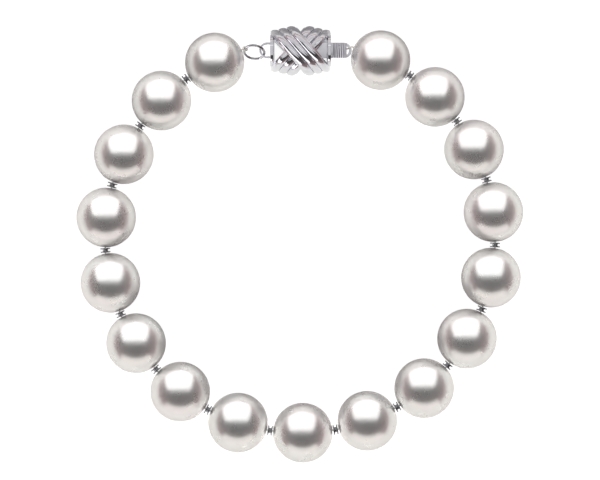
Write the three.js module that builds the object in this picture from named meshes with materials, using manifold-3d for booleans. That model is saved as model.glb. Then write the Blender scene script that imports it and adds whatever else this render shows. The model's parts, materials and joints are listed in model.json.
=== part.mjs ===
// A single-strand pearl bracelet, fastened and lying flat on a table, in millimetres with +Z up.
//
// Seventeen round pearls stand on the table in a ring. Between each two of them sits a small
// metal spool, and one thread runs through all the holes. At the +Y side the thread is tied
// round a jump ring on one end and round the eye of the clasp's tongue on the other. The clasp
// is a box with two crossing bundles of ribs on top, and its flat back lies on the table too.
import * as THREE from "three";
import { mergeVertices } from "three/addons/utils/BufferGeometryUtils.js";
import Module from "manifold-3d";

const wasm = await Module();
wasm.setup();

const degrees = THREE.MathUtils.degToRad;
const UP = new THREE.Vector3(0, 0, 1);

// ---------------------------------------------------------------- driving dimensions

// The strand: a circle of pearls with an open stretch that the clasp fills.
const PEARL_COUNT = 17;
const PEARL_RADIUS = 4.7;
const LOOP_RADIUS = 30.457;
const CLASP_STRETCH = degrees(50.34);
const CLASP_BEARING = degrees(90.79);

// The hole drilled through each pearl, with its softened rim.
const HOLE_RADIUS = 0.52;
const HOLE_RIM_RADIUS = 0.66;
const HOLE_RIM_DEPTH = 0.14;

const END_PEARL_ROLL = 0.6; // how far an end pearl's hole turns from the loop towards its tie

// The spool between two pearls.
const SPOOL_LENGTH = 0.74;
const SPOOL_FLANGE_RADIUS = 0.78;
const SPOOL_FLANGE_THICKNESS = 0.17;
const SPOOL_WAIST_RADIUS = 0.42;
const SPOOL_HOLE_RADIUS = 0.24;
const SPOOL_LOOP_RADIUS = 30.5;

const THREAD_RADIUS = 0.125;
const THREAD_SLACK = 0.34; // how far the thread strays from the middle of a pearl's hole
const KNOT_GAP = 0.04; // between a tied eye of thread and the metal that it goes round

// The clasp's box: a back plate, two end plates and the crossing bundles of ribs.
const CLASP_CENTRE = new THREE.Vector3(0.07, 29.28, 0);
const BACK_THICKNESS = 0.5;
// One quarter of the back plate's outline, from its end to the notch between the bundles.
const BACK_CORNERS = [
  { x: 4.7, y: 2.3 },
  { x: 4.35, y: 2.95 },
  { x: 1.25, y: 3.6 },
  { x: 0.0, y: 2.4 },
];
// The opening through the back plate under each open corner of the box, here at the right.
const BACK_OPENING = [
  { x: 4.1, y: 1.39 },
  { x: 1.9, y: -0.89 },
  { x: 2.3, y: -1.95 },
  { x: 4.1, y: -1.95 },
];
const END_PLATE_OUTER = 4.76;
const END_PLATE_THICKNESS = 0.5;
const END_PLATE_HALF_WIDTH = 2.45;
const END_PLATE_HEIGHT = 5.15;
const END_PLATE_POWER = 3.2;
const LINK_HEIGHT = 3.9; // of the bail, the jump ring's middle and the tongue's lower leaf

const BUNDLE_ANGLE = degrees(50);
const RIBS_IN_BUNDLE = 3;
const RIB_PITCH = 1.16;
const RIB_CREST = 0.72;
const RIB_GROOVE = 0.34;
const BUNDLE_EDGE_WIDTH = 0.1;
const BUNDLE_EDGE_HEIGHT = 0.24;
const BUNDLE_REACH = 3.95; // half the span of the arch, under the ribs
const BUNDLE_RISE = 5.25; // of the arch, under the ribs
const BUNDLE_FOOT_HEIGHT = 0.1;
const BUNDLE_STAGGER = 0.6; // how far each rib is set along from the one beside it
const ARCH_POWER = 2.4; // 2 is an ellipse, and more gives fuller shoulders, as on the end plates
const CROSSING_DIP = 0.56;
const CROSSING_DIP_FLAT = 1.3;
const CROSSING_DIP_END = 3.1;

// The fixed bail on the box and the jump ring through it.
const BAIL_WIRE_RADIUS = 0.19;
const BAIL_RADIUS = 1.09;
const BAIL_STRAIGHT = 0.45;
const JUMP_RING_RADIUS = 1.575;
const JUMP_RING_WIRE_RADIUS = 0.205;
const JUMP_RING_CENTRE = new THREE.Vector3(-7.23, -0.26, LINK_HEIGHT);
const JUMP_RING_TILT = degrees(50);
const JUMP_RING_TURN = degrees(-7);
const JUMP_RING_KNOT = degrees(160); // where the thread is tied, round the ring from +X

// The tongue: a leaf folded back on itself, with a ridged thumb tab and an eye outside the box.
const LEAF_THICKNESS = 0.3;
const LEAF_GAP = 0.2;
const TONGUE_HALF_WIDTH = 1.21;
const TONGUE_FOLD = -1.2;
const NECK_START = 4.12;
const NECK_HALF_WIDTH = 0.55;
const TAB_START = 5.08;
const TAB_END = 7.2;
const TAB_RISE = 0.2;
const TAB_RIDGES = 6;
const TAB_RIDGE_HEIGHT = 0.12;
const TAB_RIDGE_TOP = 0.3; // the level part of each ridge, as a share of its pitch
const EYE_CENTRE = 6.78;
const EYE_HOLE_RADIUS = 0.77;
const EYE_KNOT = degrees(25); // where the thread is tied, round the eye from +X
const SLOT_CLEARANCE = 0.12;

// Facets.
const PEARL_SIDES = 16;
const PEARL_BANDS = 8;
const SPOOL_SIDES = 10;
const THREAD_SIDES = 6;
const THREAD_STEPS = 84;
const KNOT_STEPS = 14;
const RIB_FACETS = 5;
const ARCH_STEPS = 16;
const WIRE_SIDES = 8;
const JUMP_RING_STEPS = 24;
const CURVE_STEPS = 6;

// ---------------------------------------------------------------- materials

const PEARL_LOOK = { color: 0xe9e2dc, roughness: 0.2, metalness: 0.0 };
const METAL_LOOK = { color: 0xd6d6dc, roughness: 0.15, metalness: 1.0 };
const THREAD_LOOK = { color: 0xf2efe8, roughness: 0.8, metalness: 0.0 };

function finish(look) {
  return new THREE.MeshStandardMaterial(look);
}

// ---------------------------------------------------------------- solids

// A closed geometry as a solid that can be joined and cut.
function solidOf(geometry) {
  const bare = geometry.clone();
  bare.deleteAttribute("normal");
  bare.deleteAttribute("uv");
  const merged = mergeVertices(bare, 1e-4);
  return new wasm.Manifold(
    new wasm.Mesh({
      numProp: 3,
      vertProperties: merged.attributes.position.array,
      triVerts: new Uint32Array(merged.index.array),
    }),
  );
}

// A joined or cut solid as a geometry with flat facets.
function geometryOf(solid) {
  const mesh = solid.getMesh();
  const indexed = new THREE.BufferGeometry();
  indexed.setAttribute("position", new THREE.BufferAttribute(mesh.vertProperties, mesh.numProp));
  indexed.setIndex(new THREE.BufferAttribute(mesh.triVerts, 1));
  const faceted = indexed.toNonIndexed();
  faceted.computeVertexNormals();
  return faceted;
}

function joined(solids) {
  return solids.reduce((whole, piece) => whole.add(piece));
}

// A turned piece round the Y axis, whose profile of [radius, height] pairs closes on itself.
function turned(profile, sides) {
  const points = profile.map(([radius, height]) => new THREE.Vector2(radius, height));
  points.push(points[0].clone());
  return new THREE.LatheGeometry(points, sides);
}

// A plain outline extruded upwards from z = 0.
function slab(shape, thickness) {
  const options = { depth: thickness, bevelEnabled: false, curveSegments: CURVE_STEPS };
  return new THREE.ExtrudeGeometry(shape, options);
}

// A round wire or thread along a curve.
function wireAlong(curve, radius, sides, steps) {
  const section = new THREE.Shape();
  for (let i = 0; i < sides; i += 1) {
    const angle = (i / sides) * 2 * Math.PI;
    const point = [radius * Math.cos(angle), radius * Math.sin(angle)];
    if (i === 0) section.moveTo(...point);
    else section.lineTo(...point);
  }
  const options = { steps, extrudePath: curve, bevelEnabled: false };
  return new THREE.ExtrudeGeometry(section, options);
}

// The frame that turns Y onto the axis and keeps Z as near to upright as it can be.
function frameAlong(axis, centre) {
  const y = axis.clone().normalize();
  const z = UP.clone().addScaledVector(y, -UP.dot(y)).normalize();
  const x = new THREE.Vector3().crossVectors(y, z);
  return new THREE.Matrix4().makeBasis(x, y, z).setPosition(centre);
}

// ---------------------------------------------------------------- the pearls

const PEARL_STEP = (2 * Math.PI - CLASP_STRETCH) / (PEARL_COUNT - 1);

function bearingOf(turns) {
  return CLASP_BEARING + CLASP_STRETCH / 2 + turns * PEARL_STEP;
}

// A point on a circle round the loop's centre, at the height of the pearls' centres.
function onLoop(bearing, radius) {
  return new THREE.Vector3(radius * Math.cos(bearing), radius * Math.sin(bearing), PEARL_RADIUS);
}

// The way that the strand runs, anticlockwise seen from above.
function alongLoop(bearing) {
  return new THREE.Vector3(-Math.sin(bearing), Math.cos(bearing), 0);
}

// A ball with a hole through it along Y, and a softened rim at both ends of the hole.
function drilledPearl() {
  const rimHeight = Math.sqrt(PEARL_RADIUS ** 2 - HOLE_RIM_RADIUS ** 2);
  const rimAngle = Math.asin(HOLE_RIM_RADIUS / PEARL_RADIUS);
  const profile = [[HOLE_RADIUS, rimHeight - HOLE_RIM_DEPTH]];
  profile.push([HOLE_RADIUS, HOLE_RIM_DEPTH - rimHeight]);
  for (let i = 0; i <= PEARL_BANDS; i += 1) {
    const angle = Math.PI - rimAngle - (i / PEARL_BANDS) * (Math.PI - 2 * rimAngle);
    profile.push([PEARL_RADIUS * Math.sin(angle), PEARL_RADIUS * Math.cos(angle)]);
  }
  return turned(profile, PEARL_SIDES);
}

// ---------------------------------------------------------------- the clasp's outlines

// Height of an arch above its feet at a place along its half span.
function archHeight(place, halfSpan, rise, power) {
  const share = Math.min(Math.abs(place) / halfSpan, 1);
  return rise * (1 - share ** power) ** (1 / power);
}

// The section of a bundle, flat below and with one round rib beside the next above.
function bundleSection() {
  const halfWidth = (RIBS_IN_BUNDLE * RIB_PITCH) / 2;
  const section = new THREE.Shape();
  section.moveTo(-halfWidth - BUNDLE_EDGE_WIDTH, 0);
  section.lineTo(halfWidth + BUNDLE_EDGE_WIDTH, 0);
  section.lineTo(halfWidth + BUNDLE_EDGE_WIDTH, BUNDLE_EDGE_HEIGHT);
  for (let rib = RIBS_IN_BUNDLE - 1; rib >= 0; rib -= 1) {
    const middle = (rib + 0.5) * RIB_PITCH - halfWidth;
    const firstFacet = rib === RIBS_IN_BUNDLE - 1 ? 0 : 1;
    for (let i = firstFacet; i <= RIB_FACETS; i += 1) {
      const angle = (i / RIB_FACETS) * Math.PI;
      const height = RIB_GROOVE + (RIB_CREST - RIB_GROOVE) * Math.sin(angle);
      section.lineTo(middle + (RIB_PITCH / 2) * Math.cos(angle), height);
    }
  }
  section.lineTo(-halfWidth - BUNDLE_EDGE_WIDTH, BUNDLE_EDGE_HEIGHT);
  return section;
}

// How far the lower bundle dips to pass under the upper one.
function dipAt(place) {
  const fade = THREE.MathUtils.smoothstep(Math.abs(place), CROSSING_DIP_FLAT, CROSSING_DIP_END);
  return CROSSING_DIP * (1 - fade);
}

// A bundle as a straight ribbed bar bent over an arch. side is 1 for the upper bundle, which
// falls away to the right and the front, and -1 for its mirror image, which dips under it.
function bundle(side) {
  const options = { steps: ARCH_STEPS, depth: 1, bevelEnabled: false };
  const bar = new THREE.ExtrudeGeometry(bundleSection(), options);
  const along = new THREE.Vector3(Math.cos(BUNDLE_ANGLE), -Math.sin(BUNDLE_ANGLE), 0);
  const across = new THREE.Vector3(Math.sin(BUNDLE_ANGLE), Math.cos(BUNDLE_ANGLE), 0);
  const position = bar.attributes.position;
  const outward = new THREE.Vector3();
  const place = new THREE.Vector3();
  for (let i = 0; i < position.count; i += 1) {
    const swing = (position.getZ(i) - 0.5) * Math.PI;
    const share = Math.sign(swing) * Math.abs(Math.sin(swing)) ** (2 / ARCH_POWER);
    const reach = BUNDLE_REACH * share;
    const offset = position.getX(i);
    const station = reach + (offset / RIB_PITCH) * BUNDLE_STAGGER;
    const dip = side < 0 ? dipAt(station) : 0;
    outward.copy(along).multiplyScalar(BUNDLE_RISE * Math.sin(swing));
    outward.addScaledVector(UP, BUNDLE_REACH * Math.cos(swing)).normalize();
    place.copy(across).multiplyScalar(offset).addScaledVector(along, station);
    place.z = BUNDLE_FOOT_HEIGHT + archHeight(reach, BUNDLE_REACH, BUNDLE_RISE, ARCH_POWER) - dip;
    place.addScaledVector(outward, position.getY(i));
    position.setXYZ(i, side * place.x, place.y, place.z);
  }
  return side < 0 ? turnedInsideOut(bar) : bar;
}

// Turns every facet over, after a shape has been mirrored.
function turnedInsideOut(geometry) {
  const position = geometry.attributes.position;
  const first = new THREE.Vector3();
  const second = new THREE.Vector3();
  for (let i = 0; i < position.count; i += 3) {
    first.fromBufferAttribute(position, i);
    second.fromBufferAttribute(position, i + 1);
    position.setXYZ(i, second.x, second.y, second.z);
    position.setXYZ(i + 1, first.x, first.y, first.z);
  }
  return geometry;
}

// An opening through the back plate: side is -1 for the left one, 1 for the right one.
function backOpening(side) {
  return new THREE.Path(BACK_OPENING.map(({ x, y }) => new THREE.Vector2(side * x, y)));
}

// The back plate reaches under the feet of both bundles and is notched between them.
function backPlate() {
  const rightHalf = BACK_CORNERS.slice(0, -1);
  const upper = [...BACK_CORNERS, ...rightHalf.reverse().map(({ x, y }) => ({ x: -x, y }))];
  const lower = upper.map(({ x, y }) => ({ x, y: -y })).reverse();
  const outline = new THREE.Shape([...upper, ...lower].map(({ x, y }) => new THREE.Vector2(x, y)));
  outline.holes.push(backOpening(-1), backOpening(1));
  return slab(outline, BACK_THICKNESS);
}

// An end plate stands across the box at its outer end: side is -1 for the left, 1 for the right.
function endPlate(side) {
  const halfSpan = END_PLATE_HALF_WIDTH + END_PLATE_THICKNESS / 4;
  const outline = new THREE.Shape();
  outline.moveTo(-END_PLATE_HALF_WIDTH, 0);
  outline.lineTo(END_PLATE_HALF_WIDTH, 0);
  for (let i = 0; i <= CURVE_STEPS; i += 1) {
    const place = END_PLATE_HALF_WIDTH * Math.cos((i / CURVE_STEPS) * Math.PI);
    outline.lineTo(place, archHeight(place, halfSpan, END_PLATE_HEIGHT, END_PLATE_POWER));
  }
  const plate = slab(outline, END_PLATE_THICKNESS);
  plate.rotateX(Math.PI / 2);
  plate.rotateZ(Math.PI / 2);
  const inner = END_PLATE_OUTER - END_PLATE_THICKNESS;
  plate.translate(side < 0 ? -END_PLATE_OUTER : inner, 0, 0);
  return plate;
}

// A half-round loop of wire that stands out level from the left end plate.
function bail() {
  const start = END_PLATE_OUTER - END_PLATE_THICKNESS / 2;
  const bend = END_PLATE_OUTER + BAIL_STRAIGHT;
  const points = [new THREE.Vector3(-start, BAIL_RADIUS, LINK_HEIGHT)];
  for (let i = 0; i <= CURVE_STEPS; i += 1) {
    const angle = (i / CURVE_STEPS) * Math.PI;
    const x = -bend - BAIL_RADIUS * Math.sin(angle);
    points.push(new THREE.Vector3(x, BAIL_RADIUS * Math.cos(angle), LINK_HEIGHT));
  }
  points.push(new THREE.Vector3(-start, -BAIL_RADIUS, LINK_HEIGHT));
  const curve = new THREE.CatmullRomCurve3(points, false, "centripetal");
  return wireAlong(curve, BAIL_WIRE_RADIUS, WIRE_SIDES, 2 * CURVE_STEPS);
}

const LEAF_BOTTOM = LINK_HEIGHT - LEAF_THICKNESS / 2;
const UPPER_LEAF_TOP = LEAF_BOTTOM + 2 * LEAF_THICKNESS + LEAF_GAP;

// The mouth in the right end plate that the folded tongue goes through.
function slot() {
  const height = UPPER_LEAF_TOP - LEAF_BOTTOM + 2 * SLOT_CLEARANCE;
  const width = 2 * (TONGUE_HALF_WIDTH + SLOT_CLEARANCE);
  const mouth = new THREE.BoxGeometry(3 * END_PLATE_THICKNESS, width, height);
  return mouth.translate(END_PLATE_OUTER, 0, (LEAF_BOTTOM + UPPER_LEAF_TOP) / 2);
}

function claspBox() {
  const plates = [backPlate(), endPlate(-1), endPlate(1)];
  const body = joined([...plates, bundle(1), bundle(-1), bail()].map(solidOf));
  return geometryOf(body.subtract(solidOf(slot())));
}

// The side view of the tongue: lower leaf, fold, upper leaf and ridged tab.
function tongueSide() {
  const foldRadius = LEAF_THICKNESS + LEAF_GAP / 2;
  const foldHeight = LEAF_BOTTOM + foldRadius;
  const tabTop = UPPER_LEAF_TOP + TAB_RISE;
  const ridge = (TAB_END - TAB_START) / TAB_RIDGES;
  const side = new THREE.Shape();
  side.moveTo(EYE_CENTRE + TONGUE_HALF_WIDTH, LEAF_BOTTOM);
  side.lineTo(EYE_CENTRE + TONGUE_HALF_WIDTH, LEAF_BOTTOM + LEAF_THICKNESS);
  side.lineTo(TONGUE_FOLD, LEAF_BOTTOM + LEAF_THICKNESS);
  side.absarc(TONGUE_FOLD, foldHeight, LEAF_GAP / 2, 1.5 * Math.PI, 0.5 * Math.PI, true);
  side.lineTo(TAB_END, UPPER_LEAF_TOP - LEAF_THICKNESS);
  side.lineTo(TAB_END, tabTop);
  for (let i = TAB_RIDGES - 1; i >= 0; i -= 1) {
    side.lineTo(TAB_START + (i + (1 + TAB_RIDGE_TOP) / 2) * ridge, tabTop + TAB_RIDGE_HEIGHT);
    side.lineTo(TAB_START + (i + (1 - TAB_RIDGE_TOP) / 2) * ridge, tabTop + TAB_RIDGE_HEIGHT);
    side.lineTo(TAB_START + i * ridge, tabTop);
  }
  side.lineTo(TAB_START, UPPER_LEAF_TOP);
  side.lineTo(TONGUE_FOLD, UPPER_LEAF_TOP);
  side.absarc(TONGUE_FOLD, foldHeight, foldRadius, 0.5 * Math.PI, 1.5 * Math.PI, false);
  return side;
}

// The plan view of the tongue: straight sides and a round outer end.
function tonguePlan() {
  const inner = TONGUE_FOLD - 2 * LEAF_THICKNESS;
  const plan = new THREE.Shape();
  plan.moveTo(inner, -TONGUE_HALF_WIDTH);
  plan.lineTo(EYE_CENTRE, -TONGUE_HALF_WIDTH);
  plan.absarc(EYE_CENTRE, 0, TONGUE_HALF_WIDTH, -0.5 * Math.PI, 0.5 * Math.PI, false);
  plan.lineTo(inner, TONGUE_HALF_WIDTH);
  return plan;
}

// The hole through the lower leaf for the thread.
function eyeHole() {
  const outline = new THREE.Shape();
  outline.absarc(EYE_CENTRE, 0, EYE_HOLE_RADIUS, 0, 2 * Math.PI, false);
  const hole = slab(outline, LEAF_THICKNESS + LEAF_GAP / 2);
  return solidOf(hole.translate(0, 0, LEAF_BOTTOM));
}

// The two notches that leave only a neck of the upper leaf where it passes the end plate.
function neckNotches() {
  const length = TAB_START - NECK_START;
  const shoulder = TONGUE_HALF_WIDTH - NECK_HALF_WIDTH;
  const height = 2 * LEAF_THICKNESS + LEAF_GAP;
  return [-1, 1].map((side) => {
    const notch = new THREE.BoxGeometry(length, 2 * shoulder, height);
    const middle = side * (NECK_HALF_WIDTH + shoulder);
    const bottom = LEAF_BOTTOM + LEAF_THICKNESS + LEAF_GAP / 2;
    return solidOf(notch.translate(NECK_START + length / 2, middle, bottom + height / 2));
  });
}

function claspTongue() {
  const sheetWidth = 3 * TONGUE_HALF_WIDTH;
  const folded = slab(tongueSide(), sheetWidth);
  folded.rotateX(Math.PI / 2);
  folded.translate(0, sheetWidth / 2, 0);
  const blank = solidOf(folded).intersect(solidOf(slab(tonguePlan(), 2 * LINK_HEIGHT)));
  const cuts = [eyeHole(), ...neckNotches()];
  return geometryOf(cuts.reduce((tongue, cut) => tongue.subtract(cut), blank));
}

// ---------------------------------------------------------------- where the thread is tied

// A tie: a point in the middle of a wire, which way the wire runs and the eye's radius round it.
function jumpRingTie() {
  const turn = new THREE.Matrix4().makeRotationZ(JUMP_RING_TURN);
  turn.multiply(new THREE.Matrix4().makeRotationX(JUMP_RING_TILT));
  const angle = JUMP_RING_KNOT;
  const point = new THREE.Vector3(Math.cos(angle), Math.sin(angle), 0);
  const wire = new THREE.Vector3(-Math.sin(angle), Math.cos(angle), 0).applyMatrix4(turn);
  point.multiplyScalar(JUMP_RING_RADIUS).applyMatrix4(turn).add(JUMP_RING_CENTRE).add(CLASP_CENTRE);
  return { point, wire, radius: JUMP_RING_WIRE_RADIUS + KNOT_GAP + THREAD_RADIUS };
}

function tongueTie() {
  const barRadius = (TONGUE_HALF_WIDTH + EYE_HOLE_RADIUS) / 2;
  const barHalf = Math.hypot((TONGUE_HALF_WIDTH - EYE_HOLE_RADIUS) / 2, LEAF_THICKNESS / 2);
  const point = new THREE.Vector3(Math.cos(EYE_KNOT), Math.sin(EYE_KNOT), 0).multiplyScalar(barRadius);
  point.add(new THREE.Vector3(EYE_CENTRE, 0, LINK_HEIGHT)).add(CLASP_CENTRE);
  const wire = new THREE.Vector3(-Math.sin(EYE_KNOT), Math.cos(EYE_KNOT), 0);
  return { point, wire, radius: barHalf + KNOT_GAP + THREAD_RADIUS };
}

const FIRST_TIE = jumpRingTie();
const LAST_TIE = tongueTie();

// ---------------------------------------------------------------- the pearls' places

// Each pearl's centre and the way its hole runs. The end pearls are rolled towards their ties.
function pearlPlaces() {
  const places = [];
  for (let i = 0; i < PEARL_COUNT; i += 1) {
    const bearing = bearingOf(i);
    places.push({ centre: onLoop(bearing, LOOP_RADIUS), hole: alongLoop(bearing) });
  }
  const first = places[0];
  const last = places[PEARL_COUNT - 1];
  const firstAim = first.centre.clone().sub(FIRST_TIE.point).normalize();
  const lastAim = LAST_TIE.point.clone().sub(last.centre).normalize();
  first.hole.lerp(firstAim, END_PEARL_ROLL).normalize();
  last.hole.lerp(lastAim, END_PEARL_ROLL).normalize();
  return places;
}

const PEARLS = pearlPlaces();
const MOUTH_DISTANCE = Math.sqrt(PEARL_RADIUS ** 2 - HOLE_RADIUS ** 2);

// The middle of a hole's mouth: end is -1 where the thread enters the pearl and 1 where it leaves.
function mouth(pearl, end) {
  return pearl.centre.clone().addScaledVector(pearl.hole, end * MOUTH_DISTANCE);
}

// Where the thread runs in a hole's mouth, drawn aside towards a point outside the pearl.
function threadInMouth(pearl, end, towards) {
  const middle = mouth(pearl, end);
  const aside = towards.clone().sub(middle);
  aside.addScaledVector(pearl.hole, -aside.dot(pearl.hole));
  return middle.add(aside.clampLength(0, THREAD_SLACK));
}

// Each spool hangs on the thread's way from one pearl to the next, squared up by both pearls.
function spoolPlaces() {
  const places = [];
  for (let i = 0; i < PEARL_COUNT - 1; i += 1) {
    const middle = onLoop(bearingOf(i + 0.5), SPOOL_LOOP_RADIUS);
    middle.z = (mouth(PEARLS[i], 1).z + mouth(PEARLS[i + 1], -1).z) / 2;
    const leaving = threadInMouth(PEARLS[i], 1, middle);
    const entering = threadInMouth(PEARLS[i + 1], -1, middle);
    const run = entering.clone().sub(leaving).normalize();
    const row = PEARLS[i + 1].centre.clone().sub(PEARLS[i].centre).normalize();
    const centre = leaving.clone().lerp(entering, 0.5);
    places.push({ centre, axis: run.add(row), leaving, entering });
  }
  return places;
}

const SPOOLS = spoolPlaces();

// ---------------------------------------------------------------- the spool and the thread

// A small turned spool: two flanges and a waist, with a hole along Y.
function spool() {
  const half = SPOOL_LENGTH / 2;
  const inside = half - SPOOL_FLANGE_THICKNESS;
  const waist = inside - SPOOL_FLANGE_THICKNESS / 2;
  const upper = [
    [SPOOL_WAIST_RADIUS, waist],
    [SPOOL_FLANGE_RADIUS, inside],
    [SPOOL_FLANGE_RADIUS, half],
    [SPOOL_HOLE_RADIUS, half],
  ];
  const lower = upper.map(([radius, height]) => [radius, -height]).reverse();
  return turned([...lower, ...upper], SPOOL_SIDES);
}

// An eye of thread round the wire at a tie, and the point of it that is nearest a pearl.
function knot(tie, towards) {
  const z = tie.wire.clone().normalize();
  const x = towards.clone().sub(tie.point);
  x.addScaledVector(z, -x.dot(z)).normalize();
  const y = new THREE.Vector3().crossVectors(z, x);
  const eye = new THREE.TorusGeometry(tie.radius, THREAD_RADIUS, THREAD_SIDES, KNOT_STEPS);
  eye.applyMatrix4(new THREE.Matrix4().makeBasis(x, y, z).setPosition(tie.point));
  return { eye, start: tie.point.clone().addScaledVector(x, tie.radius) };
}

function thread() {
  const last = PEARL_COUNT - 1;
  const firstKnot = knot(FIRST_TIE, PEARLS[0].centre);
  const lastKnot = knot(LAST_TIE, PEARLS[last].centre);
  const points = [firstKnot.start, threadInMouth(PEARLS[0], -1, firstKnot.start)];
  for (const { leaving, centre, entering } of SPOOLS) points.push(leaving, centre, entering);
  points.push(threadInMouth(PEARLS[last], 1, lastKnot.start), lastKnot.start);
  const curve = new THREE.CatmullRomCurve3(points, false, "centripetal");
  const strand = wireAlong(curve, THREAD_RADIUS, THREAD_SIDES, THREAD_STEPS);
  return geometryOf(joined([strand, firstKnot.eye, lastKnot.eye].map(solidOf)));
}

// ---------------------------------------------------------------- the bracelet

function numbered(name, index) {
  return `${name}_${String(index + 1).padStart(2, "0")}`;
}

function named(name, geometry, look) {
  const mesh = new THREE.Mesh(geometry, finish(look));
  mesh.name = name;
  return mesh;
}

const bracelet = new THREE.Group();

const pearlGeometry = drilledPearl();
PEARLS.forEach(({ centre, hole }, i) => {
  const pearl = named(numbered("pearl", i), pearlGeometry, PEARL_LOOK);
  pearl.applyMatrix4(frameAlong(hole, centre));
  bracelet.add(pearl);
});

const spoolGeometry = spool();
SPOOLS.forEach(({ centre, axis }, i) => {
  const spacer = named(numbered("spacer", i), spoolGeometry, METAL_LOOK);
  spacer.applyMatrix4(frameAlong(axis, centre));
  bracelet.add(spacer);
});

bracelet.add(named("thread", thread(), THREAD_LOOK));

const clasp = new THREE.Group();
clasp.position.copy(CLASP_CENTRE);
clasp.add(named("clasp_box", claspBox(), METAL_LOOK));
clasp.add(named("clasp_tongue", claspTongue(), METAL_LOOK));
const ringGeometry = new THREE.TorusGeometry(
  JUMP_RING_RADIUS,
  JUMP_RING_WIRE_RADIUS,
  WIRE_SIDES,
  JUMP_RING_STEPS,
);
const jumpRing = named("jump_ring", ringGeometry, METAL_LOOK);
jumpRing.position.copy(JUMP_RING_CENTRE);
jumpRing.rotation.set(JUMP_RING_TILT, 0, JUMP_RING_TURN, "ZYX");
clasp.add(jumpRing);
bracelet.add(clasp);

// The origin lies on the table, under the middle of the whole bracelet.
const extent = new THREE.Box3().setFromObject(bracelet, true);
const middle = extent.getCenter(new THREE.Vector3());
bracelet.position.set(-middle.x, -middle.y, -extent.min.z);

export default bracelet;
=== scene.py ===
import json
import math

import bmesh
import bpy
import numpy as np
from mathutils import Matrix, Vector

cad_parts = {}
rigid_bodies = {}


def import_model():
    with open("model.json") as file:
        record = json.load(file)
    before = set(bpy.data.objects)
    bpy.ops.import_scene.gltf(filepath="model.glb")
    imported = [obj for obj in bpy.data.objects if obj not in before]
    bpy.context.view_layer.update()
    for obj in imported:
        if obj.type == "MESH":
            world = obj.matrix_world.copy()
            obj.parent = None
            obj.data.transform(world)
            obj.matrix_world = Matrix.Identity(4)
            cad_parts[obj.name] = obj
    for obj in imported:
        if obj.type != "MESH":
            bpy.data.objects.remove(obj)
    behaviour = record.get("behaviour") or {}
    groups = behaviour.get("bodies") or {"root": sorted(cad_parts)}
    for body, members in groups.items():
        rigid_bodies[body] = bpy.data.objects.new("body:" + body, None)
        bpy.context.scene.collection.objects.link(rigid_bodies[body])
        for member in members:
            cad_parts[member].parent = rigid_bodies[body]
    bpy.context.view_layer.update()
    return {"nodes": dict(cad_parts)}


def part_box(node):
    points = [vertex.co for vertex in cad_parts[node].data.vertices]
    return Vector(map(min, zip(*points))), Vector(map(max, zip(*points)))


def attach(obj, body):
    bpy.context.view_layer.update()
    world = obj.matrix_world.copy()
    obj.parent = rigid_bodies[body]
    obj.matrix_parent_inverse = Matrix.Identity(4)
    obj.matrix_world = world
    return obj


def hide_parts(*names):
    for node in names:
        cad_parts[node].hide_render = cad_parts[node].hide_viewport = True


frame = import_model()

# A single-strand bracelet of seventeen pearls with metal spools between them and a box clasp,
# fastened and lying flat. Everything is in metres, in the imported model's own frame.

MM = 0.001


# ---------------------------------------------------------------- the pearls
# Seventeen round cultured pearls, 9.4 mm across, each grown in thin coats of nacre round a bead
# and drilled through. They are matched in size and colour and strung on one thread in a ring.

PEARL_NODES = [f"pearl_{i:02d}" for i in range(1, 18)]
PEARL_RADIUS = 4.66 * MM
HOLE_RADIUS = 0.5 * MM
HOLE_RIM = 0.12 * MM
PEARL_SIDES = 88
PEARL_BANDS = 52
RIM_STEPS = 5

NACRE_CREAM = (0.925, 0.917, 0.90, 1.0)
NACRE_ROSE = (0.93, 0.903, 0.90, 1.0)
NACRE_SILVER = (0.912, 0.917, 0.905, 1.0)
NACRE_ROUGHNESS = (0.25, 0.31)


def turned_place(node):
    """Centre and axis of a turned CAD piece. The axis is the odd one of its main directions."""
    low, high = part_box(node)
    centre = (low + high) / 2
    points = np.array([vertex.co - centre for vertex in frame["nodes"][node].data.vertices])
    spread, directions = np.linalg.eigh(points.T @ points)
    odd = 0 if spread[1] - spread[0] > spread[2] - spread[1] else 2
    return centre, Vector(directions[:, odd]).normalized()


def turned(profile, sides):
    """A skin round Z from a profile of (radius, height) that closes on itself."""
    points = []
    faces = []
    count = len(profile)
    for side in range(sides):
        angle = 2 * math.pi * side / sides
        for radius, height in profile:
            points.append(Vector((radius * math.cos(angle), radius * math.sin(angle), height)))
    for side in range(sides):
        here, there = side * count, (side + 1) % sides * count
        for i in range(count):
            j = (i + 1) % count
            faces.append((here + i, there + i, there + j, here + j))
    return points, faces


def placed(shape, centre, axis):
    """A shape made round Z, turned so that Z lies along the axis and moved to the centre."""
    points, faces = shape
    turn = axis.to_track_quat("Z", "Y")
    return [centre + turn @ point for point in points], faces


def arc(centre, radius, start, end, steps):
    """Points on an arc in a plane, from one angle to another."""
    angles = [start + (end - start) * i / steps for i in range(steps + 1)]
    return [(centre[0] + radius * math.cos(a), centre[1] + radius * math.sin(a)) for a in angles]


def add_piece(name, shapes, material, node, sharp=38):
    """One piece from closed shapes in place of its CAD node, with edges sharp above an angle."""
    mesh = bpy.data.meshes.new(name)
    made = bmesh.new()
    for points, faces in shapes:
        corners = [made.verts.new(point) for point in points]
        for face in faces:
            made.faces.new([corners[i] for i in face])
    bmesh.ops.recalc_face_normals(made, faces=made.faces)
    made.to_mesh(mesh)
    made.free()
    mesh.shade_smooth()
    mesh.set_sharp_from_angle(angle=math.radians(sharp))
    mesh.materials.append(material)
    piece = bpy.data.objects.new(name, mesh)
    bpy.context.scene.collection.objects.link(piece)
    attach(piece, "root")
    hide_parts(node)
    return piece


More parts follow.
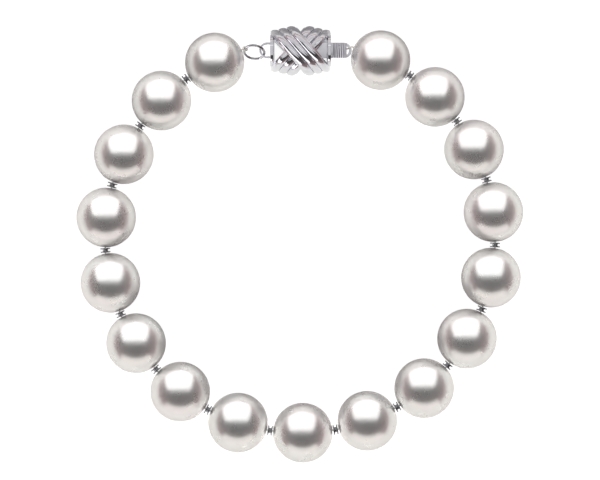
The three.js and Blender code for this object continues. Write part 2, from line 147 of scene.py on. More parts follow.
def new_material(name):
    """A material with its shader, and a maker of further nodes in it."""
    material = bpy.data.materials.new(name)
    material.use_nodes = True
    tree = material.node_tree
    shader = tree.nodes["Principled BSDF"]

    def node(kind, **settings):
        made = tree.nodes.new(kind)
        for key, value in settings.items():
            if key in made.inputs:
                made.inputs[key].default_value = value
            else:
                setattr(made, key, value)
        return made

    return material, shader, node, tree.links.new


def nacre():
    """Pearl: glossy under a fine haze, with a rosy to silvery play that drifts over it."""
    material, shader, node, link = new_material("nacre")
    shader.inputs["Metallic"].default_value = 0.78
    shader.inputs["IOR"].default_value = 1.56
    shader.inputs["Specular Tint"].default_value = (0.78, 0.74, 0.73, 1.0)
    shader.inputs["Coat Weight"].default_value = 0.2
    shader.inputs["Coat Roughness"].default_value = 0.12
    shader.inputs["Coat IOR"].default_value = 1.53
    place = node("ShaderNodeTexCoord")
    drift = node("ShaderNodeTexNoise", Scale=130.0, Detail=2.0, Roughness=0.45)
    play = node("ShaderNodeValToRGB")
    ramp = play.color_ramp
    ramp.elements[0].position, ramp.elements[0].color = 0.36, NACRE_SILVER
    ramp.elements[1].position, ramp.elements[1].color = 0.66, NACRE_ROSE
    ramp.elements.new(0.5).color = NACRE_CREAM
    link(place.outputs["Object"], drift.inputs["Vector"])
    link(drift.outputs["Fac"], play.inputs["Fac"])
    link(play.outputs["Color"], shader.inputs["Base Color"])
    haze = node("ShaderNodeTexNoise", Scale=420.0, Detail=3.0, Roughness=0.5)
    haze_range = node("ShaderNodeMapRange")
    haze_range.inputs["To Min"].default_value = NACRE_ROUGHNESS[0]
    haze_range.inputs["To Max"].default_value = NACRE_ROUGHNESS[1]
    link(place.outputs["Object"], haze.inputs["Vector"])
    link(haze.outputs["Fac"], haze_range.inputs["Value"])
    link(haze_range.outputs["Result"], shader.inputs["Roughness"])
    growth = node("ShaderNodeTexNoise", Scale=2600.0, Detail=4.0, Roughness=0.55)
    skin = node("ShaderNodeBump", Strength=0.012, Distance=0.00002)
    link(place.outputs["Object"], growth.inputs["Vector"])
    link(growth.outputs["Fac"], skin.inputs["Height"])
    link(skin.outputs["Normal"], shader.inputs["Normal"])
    return material


def pearl_profile():
    """The section of a drilled pearl: up the hole, over a rounded rim, and down the outside."""
    rim_radius = HOLE_RADIUS + HOLE_RIM
    rim_height = math.sqrt(PEARL_RADIUS**2 - rim_radius**2)
    rim_centre = (rim_radius, rim_height - HOLE_RIM)
    rim = arc(rim_centre, HOLE_RIM, math.pi, math.pi / 2, RIM_STEPS)
    tip = math.acos(rim_radius / PEARL_RADIUS)
    outside = arc((0, 0), PEARL_RADIUS, tip, -tip, PEARL_BANDS)
    foot = [(radius, -height) for radius, height in reversed(rim)]
    return rim[:-1] + outside + foot[1:]


nacre_skin = nacre()
pearl_shape = turned(pearl_profile(), PEARL_SIDES)
for pearl_node in PEARL_NODES:
    pearl_centre, hole_axis = turned_place(pearl_node)
    pearl_points = placed(pearl_shape, pearl_centre, hole_axis)
    pearl = add_piece(f"{pearl_node}_nacre", [pearl_points], nacre_skin, pearl_node)
    pearl.visible_glossy = False  # no pearl is mirrored in its neighbours or in the metal


# ---------------------------------------------------------------- the spacers
# A tiny spool of polished white metal between each two pearls, turned from rod with two flanges
# and a waist. It keeps the pearls from rubbing, and the thread holds it by its hole.

SPACER_NODES = [f"spacer_{i:02d}" for i in range(1, 17)]
SPOOL_HALF_LENGTH = 0.37 * MM
FLANGE_RADIUS = 0.78 * MM
FLANGE_THICKNESS = 0.2 * MM
FLANGE_ROUND = 0.05 * MM
WAIST_RADIUS = 0.42 * MM
WAIST_FILLET = 0.06 * MM
SPOOL_HOLE_RADIUS = 0.24 * MM
SPOOL_SIDES = 56
SPOOL_EDGE_STEPS = 4
PLATING_DARK = (0.90, 0.90, 0.955)
PLATING_LIGHT = (0.95, 0.95, 1.0)
SMUDGES = (0.7, 1.4)
SCRATCH_STRETCH = (1.0, 9.0, 1.0)


def white_metal(name, brightness, roughness, scratch):
    """Rhodium-plated white metal: a little cool, with polishing marks and soft smudges."""
    material, shader, node, link = new_material(name)
    shader.inputs["Metallic"].default_value = 1.0
    place = node("ShaderNodeTexCoord")
    tone = node("ShaderNodeTexNoise", Scale=700.0, Detail=2.0, Roughness=0.5)
    plating = node("ShaderNodeValToRGB")
    plating.color_ramp.elements[0].color = [brightness * part for part in PLATING_DARK] + [1.0]
    plating.color_ramp.elements[1].color = [brightness * part for part in PLATING_LIGHT] + [1.0]
    link(place.outputs["Object"], tone.inputs["Vector"])
    link(tone.outputs["Fac"], plating.inputs["Fac"])
    link(plating.outputs["Color"], shader.inputs["Base Color"])
    smudge = node("ShaderNodeTexNoise", Scale=1500.0, Detail=4.0, Roughness=0.6)
    smudge_range = node("ShaderNodeMapRange")
    smudge_range.inputs["To Min"].default_value = roughness * SMUDGES[0]
    smudge_range.inputs["To Max"].default_value = roughness * SMUDGES[1]
    link(place.outputs["Object"], smudge.inputs["Vector"])
    link(smudge.outputs["Fac"], smudge_range.inputs["Value"])
    link(smudge_range.outputs["Result"], shader.inputs["Roughness"])
    stretch = node("ShaderNodeMapping")
    stretch.inputs["Scale"].default_value = SCRATCH_STRETCH
    marks = node("ShaderNodeTexNoise", Scale=5200.0, Detail=3.0, Roughness=0.6)
    relief = node("ShaderNodeBump", Strength=scratch, Distance=0.00001)
    link(place.outputs["Object"], stretch.inputs["Vector"])
    link(stretch.outputs["Vector"], marks.inputs["Vector"])
    link(marks.outputs["Fac"], relief.inputs["Height"])
    link(relief.outputs["Normal"], shader.inputs["Normal"])
    return material


def spool_profile():
    """The section of a spool: rounded flange edges and a filleted waist."""
    face, edge = SPOOL_HALF_LENGTH, SPOOL_HALF_LENGTH - FLANGE_THICKNESS
    rounding = FLANGE_RADIUS - FLANGE_ROUND
    bore = SPOOL_HOLE_RADIUS
    upper = [(bore, face - FLANGE_ROUND), (bore + FLANGE_ROUND, face)]
    upper += arc((rounding, face - FLANGE_ROUND), FLANGE_ROUND, math.pi / 2, 0, SPOOL_EDGE_STEPS)
    upper += arc((rounding, edge + FLANGE_ROUND), FLANGE_ROUND, 0, -math.pi / 2, SPOOL_EDGE_STEPS)
    fillet = (WAIST_RADIUS + WAIST_FILLET, edge - WAIST_FILLET)
    upper += arc(fillet, WAIST_FILLET, math.pi / 2, math.pi, SPOOL_EDGE_STEPS)
    return upper + [(radius, -height) for radius, height in reversed(upper)]


# Painted shade: the spools' white metal is darkened to about a third of the box metal's brightness,
# standing in for the dark look that their small flanges take from the light.
spool_metal_painted_dark = white_metal("turned_white_metal", brightness=0.32, roughness=0.2, scratch=0.06)
spool_shape = turned(spool_profile(), SPOOL_SIDES)
for spacer_node in SPACER_NODES:
    spool_points = placed(spool_shape, *turned_place(spacer_node))
    add_piece(f"{spacer_node}_spool", [spool_points], spool_metal_painted_dark, spacer_node)


# ---------------------------------------------------------------- the jump ring
# A ring of round wire, 3.6 mm across, sprung open and closed again over the box's bail. One
# end of the thread is tied to it, and it leans over in the bail.

RING_RADIUS = 1.575 * MM
RING_WIRE = 0.205 * MM
RING_SEAM = math.radians(0.6)
RING_SEAM_AT = math.radians(-58)
RING_STEPS = 120
WIRE_SIDES = 28
WIRE_END = [(0.55, 0.0), (0.86, 0.12), (1.0, 0.35)]


def lofted(rows):
    """A closed skin over rows of points, each a ring of the same length, capped at both ends."""
    count = len(rows[0])
    points = [point for row in rows for point in row]
    faces = [tuple(range(count)), tuple(range(len(points) - count, len(points)))]
    for row in range(len(rows) - 1):
        here, there = row * count, (row + 1) * count
        for i in range(count):
            j = (i + 1) % count
            faces.append((here + i, here + j, there + j, there + i))
    return points, faces


def wire(path, radius, sides, lobes=0, lobe_depth=0.0, pitch=1.0):
    """A round wire along a path, its ends rounded off by steps of width and depth in radii.
    Lobes twisted round it make a plied thread."""
    path = [Vector(point) for point in path]
    last = len(path) - 1
    runs = [(path[min(i + 1, last)] - path[max(i - 1, 0)]).normalized() for i in range(last + 1)]
    across = runs[0].orthogonal().normalized()
    reached = 0.0
    rows = []
    for i, point in enumerate(path):
        run = runs[i]
        across = (across - run * across.dot(run)).normalized()
        up = run.cross(across)
        reached += (point - path[i - 1]).length if i else 0.0
        if i in (0, last):
            inwards = run if i == 0 else -run
            steps = WIRE_END if i == 0 else WIRE_END[::-1]
            ends = [(share, point + inwards * radius * depth) for share, depth in steps]
        else:
            ends = [(1.0, point)]
        for share, middle in ends:
            row = []
            for side in range(sides):
                angle = 2 * math.pi * side / sides
                twist = lobes * angle + 2 * math.pi * reached / pitch
                reach = radius * share * (1 - lobe_depth * (0.5 + 0.5 * math.cos(twist)))
                row.append(middle + across * reach * math.cos(angle) + up * reach * math.sin(angle))
            rows.append(row)
    return lofted(rows)


ring_centre, ring_axis = turned_place("jump_ring")
ring_axis = ring_axis if ring_axis.z > 0 else -ring_axis
ring_level = Vector((0, 0, 1)).cross(ring_axis).normalized()
ring_level = ring_level if ring_level.x > 0 else -ring_level
ring_rise = ring_axis.cross(ring_level)


def on_ring(angle):
    """A point in the middle of the ring's wire, measured round from its level diameter."""
    return ring_centre + RING_RADIUS * (ring_level * math.cos(angle) + ring_rise * math.sin(angle))


ring_turn = 2 * math.pi - RING_SEAM
ring_path = [on_ring(RING_SEAM_AT + ring_turn * i / RING_STEPS) for i in range(RING_STEPS + 1)]
ring_shape = wire(ring_path, RING_WIRE, WIRE_SIDES)
drawn_wire = white_metal("drawn_white_metal", brightness=0.56, roughness=0.12, scratch=0.15)
add_piece("jump_ring_wire", [ring_shape], drawn_wire, "jump_ring")


# ---------------------------------------------------------------- the clasp's box
# An openwork box of white metal: a flat back plate, two upright end plates and two bundles of
# three half-round ribs arched crosswise over the top, soldered together and polished. A loop
# of wire, the bail, is soldered to its left end, and the right end has a slot for the tongue.

box_low, box_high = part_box("clasp_box")
END_OUTER = 4.76 * MM
CLASP = Vector((box_high.x - END_OUTER, (box_low.y + box_high.y) / 2, box_low.z))

BACK_THICKNESS = 0.5 * MM
BACK_CORNERS = [(4.7, 2.3), (4.35, 2.95), (1.25, 3.6), (0.0, 2.4)]
BACK_OPENING = [(4.1, 1.39), (1.9, -0.89), (2.3, -1.95), (4.1, -1.95)]
END_THICKNESS = 0.5 * MM
END_HALF_WIDTH = 2.45 * MM
END_HEIGHT = 5.15 * MM
END_POWER = 3.2
END_STEPS = 48
LINK_HEIGHT = 3.9 * MM
EDGE_ROUNDING = 0.05 * MM

BUNDLE_ANGLE = math.radians(50)
RIBS = 3
RIB_PITCH = 1.16 * MM
RIB_CREST = 0.72 * MM
RIB_GROOVE = 0.34 * MM
RIB_FACETS = 24
BUNDLE_EDGE_WIDTH = 0.17 * MM
BUNDLE_EDGE_HEIGHT = 0.24 * MM
BUNDLE_EDGE_SOFT = 0.4 * BUNDLE_EDGE_WIDTH
BUNDLE_REACH = 3.94 * MM
BUNDLE_RISE = 5.25 * MM
BUNDLE_FOOT = 0.1 * MM
BUNDLE_STAGGER = 0.6 * MM
ARCH_POWER = 2.4
ARCH_STEPS = 140
DIP = 0.56 * MM
DIP_FLAT = 1.3 * MM
DIP_END = 3.1 * MM

BAIL_WIRE = 0.19 * MM
BAIL_RADIUS = 1.09 * MM
BAIL_STRAIGHT = 0.45 * MM
BAIL_STEPS = 40

LEAF = 0.3 * MM
LEAF_GAP = 0.2 * MM
TONGUE_HALF_WIDTH = 1.21 * MM
SLOT_CLEARANCE = 0.12 * MM
LEAF_BOTTOM = LINK_HEIGHT - LEAF / 2
LEAF_TOP = LEAF_BOTTOM + 2 * LEAF + LEAF_GAP


def arch_height(place, half_span, rise, power):
    """Height of an arch above its feet at a place along its half span."""
    share = min(abs(place) / half_span, 1)
    return rise * (1 - share**power) ** (1 / power)


def bundle_section():
    """Across and out from the middle of a bundle: flat below, three round ribs above."""
    half = RIBS * RIB_PITCH / 2
    edge = half + BUNDLE_EDGE_WIDTH
    soft = BUNDLE_EDGE_SOFT
    section = [(-edge, 0), (edge, 0), (edge, BUNDLE_EDGE_HEIGHT - soft)]
    section += [(edge - soft, BUNDLE_EDGE_HEIGHT), (half + soft / 4, RIB_GROOVE - soft / 4)]
    for rib in reversed(range(RIBS)):
        middle = (rib + 0.5) * RIB_PITCH - half
        for i in range(0 if rib == RIBS - 1 else 1, RIB_FACETS + 1):
            angle = math.pi * i / RIB_FACETS
            height = RIB_GROOVE + (RIB_CREST - RIB_GROOVE) * math.sin(angle)
            section.append((middle + RIB_PITCH / 2 * math.cos(angle), height))
    section.append((-half - soft / 4, RIB_GROOVE - soft / 4))
    section += [(soft - edge, BUNDLE_EDGE_HEIGHT), (-edge, BUNDLE_EDGE_HEIGHT - soft)]
    return section


def dip_at(place):
    """How far the lower bundle sinks to pass under the upper one."""
    share = min(max((abs(place) - DIP_FLAT) / (DIP_END - DIP_FLAT), 0), 1)
    return DIP * (1 - share * share * (3 - 2 * share))


def bundle(side):
    """Ribs bent over the arch. Side 1 falls to the right and front, and -1 mirrors it, below."""
    along = Vector((math.cos(BUNDLE_ANGLE), -math.sin(BUNDLE_ANGLE), 0))
    across = Vector((math.sin(BUNDLE_ANGLE), math.cos(BUNDLE_ANGLE), 0))
    up = Vector((0, 0, 1))
    section = bundle_section()
    rows = []
    for step in range(ARCH_STEPS + 1):
        swing = (step / ARCH_STEPS - 0.5) * math.pi
        share = math.copysign(abs(math.sin(swing)) ** (2 / ARCH_POWER), swing)
        reach = BUNDLE_REACH * share
        outward = along * BUNDLE_RISE * math.sin(swing) + up * BUNDLE_REACH * math.cos(swing)
        outward.normalize()
        row = []
        for offset, height in section:
            station = reach + offset / RIB_PITCH * BUNDLE_STAGGER
            place = across * offset + along * station
            place.z = BUNDLE_FOOT + arch_height(reach, BUNDLE_REACH, BUNDLE_RISE, ARCH_POWER)
            place.z -= dip_at(station) if side < 0 else 0
            place += outward * height
            row.append(CLASP + Vector((side * place.x, place.y, place.z)))
        rows.append(row)
    return lofted(rows)


def plate(outlines, thickness, to_place, rounding=EDGE_ROUNDING):
    """A flat plate with its edges rounded over, from outlines of which the inner ones are holes."""
    sheet = bpy.data.curves.new("sheet", "CURVE")
    sheet.dimensions = "2D"
    sheet.fill_mode = "BOTH"
    sheet.extrude = thickness / 2 - rounding
    sheet.bevel_depth = rounding
    sheet.bevel_resolution = 2
    sheet.offset = -rounding
    for outline in outlines:
        edge = sheet.splines.new("POLY")
        edge.points.add(len(outline) - 1)
        edge.use_cyclic_u = True
        for point, (x, y) in zip(edge.points, outline):
            point.co = (x, y, 0, 1)
    cut = bpy.data.objects.new("sheet", sheet)
    bpy.context.scene.collection.objects.link(cut)
    bpy.context.view_layer.update()
    mesh = bpy.data.meshes.new_from_object(cut.evaluated_get(bpy.context.evaluated_depsgraph_get()))
    joined = bmesh.new()
    joined.from_mesh(mesh)
    bmesh.ops.remove_doubles(joined, verts=joined.verts, dist=1e-8)
    points = [to_place(vertex.co) for vertex in joined.verts]
    faces = [tuple(vertex.index for vertex in face.verts) for face in joined.faces]
    joined.free()
    bpy.data.objects.remove(cut)
    bpy.data.curves.remove(sheet)
    bpy.data.meshes.remove(mesh)
    return points, faces


def back_plate():
    """The back plate reaches under the feet of the bundles and is notched between them."""
    quarter = [(x * MM, y * MM) for x, y in BACK_CORNERS]
    upper = quarter + [(-x, y) for x, y in reversed(quarter[:-1])]
    outline = upper + [(x, -y) for x, y in reversed(upper)]
    openings = [[(side * x * MM, y * MM) for x, y in BACK_OPENING] for side in (-1, 1)]
    middle = Vector((0, 0, BACK_THICKNESS / 2))
    return plate([outline, *openings], BACK_THICKNESS, lambda p: CLASP + p + middle)


def end_plate(side):
    """An upright plate with an arched top: side is -1 for the left end, 1 for the right."""
    outline = [(-END_HALF_WIDTH, 0), (END_HALF_WIDTH, 0)]
    half_span = END_HALF_WIDTH + END_THICKNESS / 4
    for i in range(END_STEPS + 1):
        place = END_HALF_WIDTH * math.cos(math.pi * i / END_STEPS)
        outline.append((place, arch_height(place, half_span, END_HEIGHT, END_POWER)))
    outlines = [outline]
    if side > 0:
        reach = TONGUE_HALF_WIDTH + SLOT_CLEARANCE
        low, high = LEAF_BOTTOM - SLOT_CLEARANCE, LEAF_TOP + SLOT_CLEARANCE
        outlines.append([(-reach, low), (-reach, high), (reach, high), (reach, low)])
    middle = side * (END_OUTER - END_THICKNESS / 2)
    return plate(outlines, END_THICKNESS, lambda p: CLASP + Vector((middle + p.z, p.x, p.y)))


def bail():
    """The half-round loop of wire that stands out level from the left end."""
    start, bend = END_OUTER - END_THICKNESS / 2, END_OUTER + BAIL_STRAIGHT
    path = [(-start, BAIL_RADIUS), (-END_OUTER, BAIL_RADIUS)]
    path += arc((-bend, 0), BAIL_RADIUS, math.pi / 2, 3 * math.pi / 2, BAIL_STEPS)
    path += [(-END_OUTER, -BAIL_RADIUS), (-start, -BAIL_RADIUS)]
    return wire([CLASP + Vector((x, y, LINK_HEIGHT)) for x, y in path], BAIL_WIRE, WIRE_SIDES)


box_shapes = [back_plate(), end_plate(-1), end_plate(1), bundle(1), bundle(-1), bail()]
polished_metal = white_metal("polished_white_metal", brightness=0.9, roughness=0.08, scratch=0.08)
add_piece("clasp_box_metal", box_shapes, polished_metal, "clasp_box")


# ---------------------------------------------------------------- the clasp's tongue
# A strip of spring metal folded back on itself: the lower leaf ends in an eye for the thread,
# and the upper one springs up behind the slot and ends in a ridged thumb tab.

TONGUE_FOLD = -1.2 * MM
NECK_START = 4.12 * MM
NECK_HALF_WIDTH = 0.55 * MM
TAB_START = 5.08 * MM
TAB_END = 7.2 * MM
TAB_RISE = 0.2 * MM
TAB_RIDGES = 6
TAB_RIDGE_HEIGHT = 0.12 * MM
TAB_RIDGE_STEPS = 8
TAB_RIDGE_POWER = 0.8
TAB_ROUNDING = 0.07 * MM
EYE_CENTRE = 6.78 * MM
EYE_HOLE_RADIUS = 0.77 * MM
LEAF_ROUNDING = 0.04 * MM
LEAF_END_STEPS = 48
EYE_STEPS = 64
FOLD_STEPS = 20


def lower_leaf():
    """The lower leaf with its round end and the eye."""
    outline = [(TONGUE_FOLD, TONGUE_HALF_WIDTH), (TONGUE_FOLD, -TONGUE_HALF_WIDTH)]
    quarter = math.pi / 2
    outline += arc((EYE_CENTRE, 0), TONGUE_HALF_WIDTH, -quarter, quarter, LEAF_END_STEPS)
    eye = arc((EYE_CENTRE, 0), EYE_HOLE_RADIUS, 0, 2 * math.pi, EYE_STEPS)[:-1]
    middle = Vector((0, 0, LINK_HEIGHT))
    return plate([outline, eye], LEAF, lambda p: CLASP + p + middle, LEAF_ROUNDING)


def upper_leaf():
    """The upper leaf, drawn in to a neck where it passes the slot."""
    shoulder = [(NECK_START, TONGUE_HALF_WIDTH), (NECK_START, NECK_HALF_WIDTH)]
    upper = [(TONGUE_FOLD, TONGUE_HALF_WIDTH), *shoulder, (TAB_START + LEAF, NECK_HALF_WIDTH)]
    outline = upper[:1] + [(x, -y) for x, y in upper] + upper[:0:-1]
    middle = Vector((0, 0, LEAF_TOP - LEAF / 2))
    return plate([outline], LEAF, lambda p: CLASP + p + middle, LEAF_ROUNDING)


def fold():
    """The bend between the two leaves, pressed round a narrow gap."""
    centre = (TONGUE_FOLD, LEAF_BOTTOM + LEAF + LEAF_GAP / 2)
    outer = arc(centre, LEAF + LEAF_GAP / 2, math.pi / 2, 3 * math.pi / 2, FOLD_STEPS)
    inner = arc(centre, LEAF_GAP / 2, 3 * math.pi / 2, math.pi / 2, FOLD_STEPS)
    edges = (-TONGUE_HALF_WIDTH, TONGUE_HALF_WIDTH)
    return lofted([[CLASP + Vector((x, y, z)) for x, z in outer + inner] for y in edges])


def tongue_half_width(x):
    """Half the width of the tongue at a place along it, drawn in at its round end."""
    past = max(x - EYE_CENTRE, 0)
    return math.sqrt(max(TONGUE_HALF_WIDTH**2 - past**2, 0))


def thumb_tab():
    """The thumb tab: a thick pad with round ridges pressed across it."""
    ridge = (TAB_END - TAB_START) / TAB_RIDGES
    base, top = LEAF_TOP - LEAF, LEAF_TOP + TAB_RISE
    soft = TAB_ROUNDING
    side_view = [(TAB_START, base), (TAB_END, base), (TAB_END, top - soft)]
    for i in reversed(range(TAB_RIDGES)):
        for step in range(TAB_RIDGE_STEPS + 1):
            share = 1 - step / TAB_RIDGE_STEPS
            height = top + TAB_RIDGE_HEIGHT * math.sin(math.pi * share) ** TAB_RIDGE_POWER
            side_view.append((TAB_START + (i + share) * ridge, height))
    side_view.append((TAB_START, top - soft))
    inset = 1 - soft / TONGUE_HALF_WIDTH
    rows = []
    for side, drop in ((-1, soft), (-inset, 0), (inset, 0), (1, soft)):
        row = []
        for x, z in side_view:
            y = side * tongue_half_width(x)
            row.append(CLASP + Vector((x, y, z - drop if z > base else z + drop)))
        rows.append(row)
    return lofted(rows)


tongue_shapes = [lower_leaf(), upper_leaf(), fold(), thumb_tab()]
spring_metal = white_metal("spring_white_metal", brightness=0.92, roughness=0.3, scratch=0.3)
add_piece("clasp_tongue_metal", tongue_shapes, spring_metal, "clasp_tongue")


# ---------------------------------------------------------------- the thread
# One plied silk thread through all the pearls and spools. One end goes round the jump ring and
# the other round the eye of the tongue, each in a single close turn.

THREAD_RADIUS = 0.125 * MM
THREAD_PITCH = 0.9 * MM
THREAD_PLIES = 3
THREAD_PLY_DEPTH = 0.22
THREAD_SIDES = 12
THREAD_STEP = 0.11 * MM
THREAD_SLACK = 0.34 * MM
KNOT_GAP = 0.04 * MM
SILK_DARK = (0.70, 0.67, 0.61, 1.0)
SILK_LIGHT = (0.88, 0.86, 0.81, 1.0)
RING_TIE = math.radians(160)
EYE_TIE = math.radians(25)
TIE_STEPS = 44

pearl_places = [turned_place(name) for name in PEARL_NODES]
spool_places = [turned_place(name) for name in SPACER_NODES]
hole_mouth = math.sqrt(PEARL_RADIUS**2 - HOLE_RADIUS**2)


def in_mouth(pearl, towards):
    """Where the thread runs in the mouth of a pearl's hole, drawn aside towards a point outside."""
    centre, axis = pearl
    out = axis if (towards - centre).dot(axis) > 0 else -axis
    middle = centre + out * hole_mouth
    aside = towards - middle
    aside -= out * aside.dot(out)
    if aside.length > THREAD_SLACK:
        aside = aside.normalized() * THREAD_SLACK
    return middle + aside


def blended(row, j, knots, width, at):
    """Between two neighbours of a row, by where a place lies among their knots."""
    share = (at - knots[j]) / (knots[j + width] - knots[j])
    return row[j].lerp(row[j + 1], share)


def smooth_path(points, step):
    """A smooth path through points, as a centripetal Catmull-Rom curve, at about even steps."""
    points = [points[0] * 2 - points[1]] + points + [points[-1] * 2 - points[-2]]
    path = []
    for i in range(1, len(points) - 2):
        four = points[i - 1:i + 3]
        knots = [0.0]
        for here, there in zip(four, four[1:]):
            knots.append(knots[-1] + math.sqrt(max((there - here).length, 1e-9)))
        steps = max(2, round((four[2] - four[1]).length / step))
        for k in range(steps):
            at = knots[1] + (knots[2] - knots[1]) * k / steps
            three = [blended(four, j, knots, 1, at) for j in range(3)]
            two = [blended(three, j, knots, 2, at) for j in range(2)]
            path.append(two[0].lerp(two[1], (at - knots[1]) / (knots[2] - knots[1])))
    return path + [points[-2]]


def tie(point, run, radius, towards):
    """The turn of thread round a wire, and the point of it nearest the pearl."""
    run = run.normalized()
    x = towards - point
    x = (x - run * x.dot(run)).normalized()
    y = run.cross(x)
    turn = []
    for i in range(TIE_STEPS + 1):
        angle = 2 * math.pi * i / TIE_STEPS
        turn.append(point + (x * math.cos(angle) + y * math.sin(angle)) * radius)
    return turn, point + x * radius


ring_point = on_ring(RING_TIE)
ring_run = -ring_level * math.sin(RING_TIE) + ring_rise * math.cos(RING_TIE)
ring_reach = RING_WIRE + KNOT_GAP + THREAD_RADIUS
eye_bar = (TONGUE_HALF_WIDTH + EYE_HOLE_RADIUS) / 2
eye_corner = math.hypot((TONGUE_HALF_WIDTH - EYE_HOLE_RADIUS) / 2, LEAF / 2)
eye_reach = eye_corner + KNOT_GAP + THREAD_RADIUS
eye_out = Vector((math.cos(EYE_TIE), math.sin(EYE_TIE), 0))
eye_point = CLASP + Vector((EYE_CENTRE, 0, LINK_HEIGHT)) + eye_out * eye_bar
eye_run = Vector((-math.sin(EYE_TIE), math.cos(EYE_TIE), 0))
ring_turn_path, ring_start = tie(ring_point, ring_run, ring_reach, pearl_places[0][0])
eye_turn_path, eye_start = tie(eye_point, eye_run, eye_reach, pearl_places[-1][0])

route = [ring_start, in_mouth(pearl_places[0], ring_start)]
for i, (spool_centre, _) in enumerate(spool_places):
    before, after = pearl_places[i], pearl_places[i + 1]
    route += [in_mouth(before, spool_centre), spool_centre, in_mouth(after, spool_centre)]
route += [in_mouth(pearl_places[-1], eye_start), eye_start]
strand = smooth_path(route, THREAD_STEP)
thread_shapes = [
    wire(path, THREAD_RADIUS, THREAD_SIDES, THREAD_PLIES, THREAD_PLY_DEPTH, THREAD_PITCH)
    for path in (strand, ring_turn_path, eye_turn_path)
]


def silk():
    """Plied silk: fine fibres along the plies, a little sheen, slightly uneven in tone."""
    material, shader, node, link = new_material("silk_thread")
    shader.inputs["Roughness"].default_value = 0.62
    shader.inputs["Sheen Weight"].default_value = 0.35
    shader.inputs["Sheen Roughness"].default_value = 0.4
    place = node("ShaderNodeTexCoord")
    fibres = node("ShaderNodeTexNoise", Scale=9000.0, Detail=3.0, Roughness=0.6)
    tone = node("ShaderNodeValToRGB")
    tone.color_ramp.elements[0].color = SILK_DARK
    tone.color_ramp.elements[1].color = SILK_LIGHT
    fuzz = node("ShaderNodeBump", Strength=0.4, Distance=0.00002)
    link(place.outputs["Object"], fibres.inputs["Vector"])
    link(fibres.outputs["Fac"], tone.inputs["Fac"])
    link(tone.outputs["Color"], shader.inputs["Base Color"])
    link(fibres.outputs["Fac"], fuzz.inputs["Height"])
    link(fuzz.outputs["Normal"], shader.inputs["Normal"])
    return material


add_piece("silk_thread", thread_shapes, silk(), "thread", sharp=60)


# ---------------------------------------------------------------- the table and the light
# A plain pale tabletop. A broad white panel leans over the pearls from behind and a low card
# stands in front, the metal has a narrow panel at its side and grey ones behind and above, and
# two strips light the table alone. Each light falls only on the pieces that it is named with.

TABLE_REACH = 4.0
TABLE_COLOUR = (0.80, 0.80, 0.805, 1.0)
TABLE_ROUGHNESS = 0.3
TABLE_SHADE = (0.2, 0.2, 0.202, 1.0)
TABLE_GLOW = 0.96


def tabletop():
    """A pale tabletop far larger than the bracelet. Seen directly it glows nearly white, and
    in the gloss of the pearls and the metal it is a plain lit table."""
    mesh = bpy.data.meshes.new("tabletop")
    reach = TABLE_REACH
    corners = [(-reach, -reach, 0), (reach, -reach, 0), (reach, reach, 0), (-reach, reach, 0)]
    mesh.from_pydata(corners, [], [(0, 1, 2, 3)])
    material, shader, node, link = new_material("pale_tabletop")
    shader.inputs["Base Color"].default_value = TABLE_COLOUR
    shader.inputs["Roughness"].default_value = TABLE_ROUGHNESS
    matt = node("ShaderNodeBsdfDiffuse", Color=TABLE_SHADE)
    glow = node("ShaderNodeEmission", Strength=TABLE_GLOW)
    seen = node("ShaderNodeLightPath")
    lit = node("ShaderNodeAddShader")
    either = node("ShaderNodeMixShader")
    link(matt.outputs["BSDF"], lit.inputs[0])
    link(glow.outputs["Emission"], lit.inputs[1])
    link(seen.outputs["Is Camera Ray"], either.inputs["Fac"])
    link(shader.outputs["BSDF"], either.inputs[1])
    link(lit.outputs["Shader"], either.inputs[2])
    link(either.outputs["Shader"], material.node_tree.nodes["Material Output"].inputs["Surface"])
    mesh.materials.append(material)
    table = bpy.data.objects.new("tabletop", mesh)
    bpy.context.scene.collection.objects.link(table)
    return table


def light_panel(name, lit, at, tilt, size, radiance, turn=0, colour=(1.0, 1.0, 1.0)):
    """A soft rectangular light that falls on the lit pieces alone. It faces down until it is
    tilted and then turned round Z, both in degrees."""
    width, depth = size
    light = bpy.data.lights.new(name, "AREA")
    light.shape = "RECTANGLE"
    light.size, light.size_y = width, depth
    light.color = colour
    light.energy = radiance * math.pi * width * depth
    panel = bpy.data.objects.new(name, light)
    panel.location = at
    panel.rotation_euler = (-math.radians(tilt), 0, math.radians(turn))
    panel.visible_camera = False
    bpy.context.scene.collection.objects.link(panel)
    group = bpy.data.collections.new(name + "_pieces")
    for piece in lit:
        group.objects.link(piece)
    panel.light_linking.receiver_collection = group
    return panel


made = list(bpy.data.objects)
metal = [piece for piece in made if piece.name.endswith(("_metal", "_wire", "_spool"))]
strand_pieces = [piece for piece in made if piece.name.endswith(("_nacre", "_thread"))]
table = [tabletop()]

light_panel(
    "back_panel", strand_pieces, at=(-0.21, 0.80, 0.62), tilt=45, size=(2.5, 1.76), radiance=1.32
)
light_panel(
    "edge_glow", strand_pieces, at=(-0.1, 0.035, 1.2), tilt=0, size=(1.9, 0.26), radiance=0.33
)
light_panel(
    "front_card", strand_pieces, at=(0, -1.17, 0.25), tilt=-78, size=(2.6, 0.8), radiance=0.78,
    colour=(1.0, 1.0, 0.96),
)
front_strip = light_panel(
    "table_fill", table, at=(0, -1.0, 0.5), tilt=-64, size=(1.9, 0.3), radiance=21.5,
    colour=(1.0, 1.0, 0.955),
)
back_strip = light_panel(
    "table_back_fill", table, at=(0, 1.0, 0.5), tilt=64, size=(1.9, 0.3), radiance=5.0
)
front_strip.visible_glossy = False
back_strip.visible_glossy = False
light_panel(
    "side_panel", metal, at=(-0.67, -0.56, 0.38), tilt=66, turn=130, size=(2.2, 0.62), radiance=1.6
)
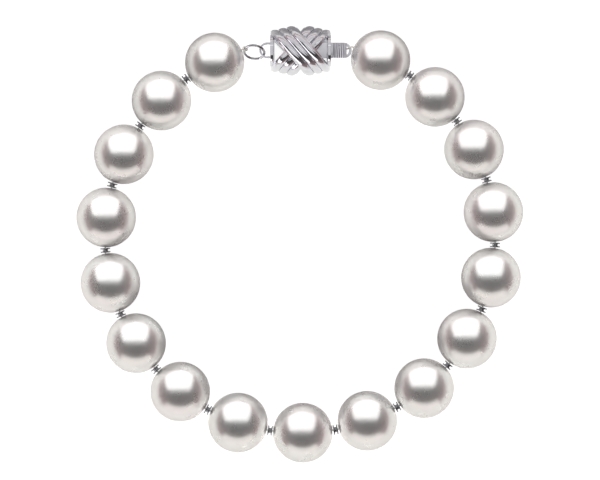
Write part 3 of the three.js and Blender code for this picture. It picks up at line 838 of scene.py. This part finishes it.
light_panel("grey_panel", metal, at=(0.0, 0.81, 0.61), tilt=45, size=(2.6, 1.3), radiance=0.55)
light_panel("ceiling", metal, at=(0.1, 0.1, 1.2), tilt=0, size=(1.0, 0.8), radiance=0.6)

ROOM_LOW = (0.34, 0.24, 0.235, 1.0)
ROOM_MIDDLE = (0.13, 0.108, 0.108, 1.0)
ROOM_HIGH = (0.04, 0.04, 0.04, 1.0)

world = bpy.data.worlds.new("studio")
bpy.context.scene.world = world
world.use_nodes = True
backdrop = world.node_tree.nodes
direction = backdrop.new("ShaderNodeTexCoord")
parts = backdrop.new("ShaderNodeSeparateXYZ")
height = backdrop.new("ShaderNodeMapRange")
shades = backdrop.new("ShaderNodeValToRGB")
height.inputs["From Min"].default_value = -1.0
shades.color_ramp.elements[0].position = 0.5
shades.color_ramp.elements[0].color = ROOM_LOW
shades.color_ramp.elements[1].position = 0.95
shades.color_ramp.elements[1].color = ROOM_HIGH
shades.color_ramp.elements.new(0.72).color = ROOM_MIDDLE
join = world.node_tree.links.new
join(direction.outputs["Generated"], parts.inputs["Vector"])
join(parts.outputs["Z"], height.inputs["Value"])
join(height.outputs["Result"], shades.inputs["Fac"])
join(shades.outputs["Color"], backdrop["Background"].inputs["Color"])

bpy.context.scene.view_settings.view_transform = "Standard"


# ---------------------------------------------------------------- the camera
# Straight above the bracelet, far off on a long lens.

CAMERA_HEIGHT = 1.4
CAMERA_OVER = Vector((0.04, 0.64, 0)) * MM
FRAME_WIDTH = 93.73 * MM

lens = bpy.data.cameras.new("camera")
lens.sensor_width = 36.0
lens.lens = lens.sensor_width * (CAMERA_HEIGHT - PEARL_RADIUS) / FRAME_WIDTH
lens.clip_start = 0.01
lens.clip_end = 50.0
camera = bpy.data.objects.new("camera", lens)
camera.location = CAMERA_OVER + Vector((0, 0, CAMERA_HEIGHT))
bpy.context.scene.collection.objects.link(camera)
bpy.context.scene.camera = camera


# ---------------------------------------------------------------- the scene brought up to date

bpy.context.view_layer.update()
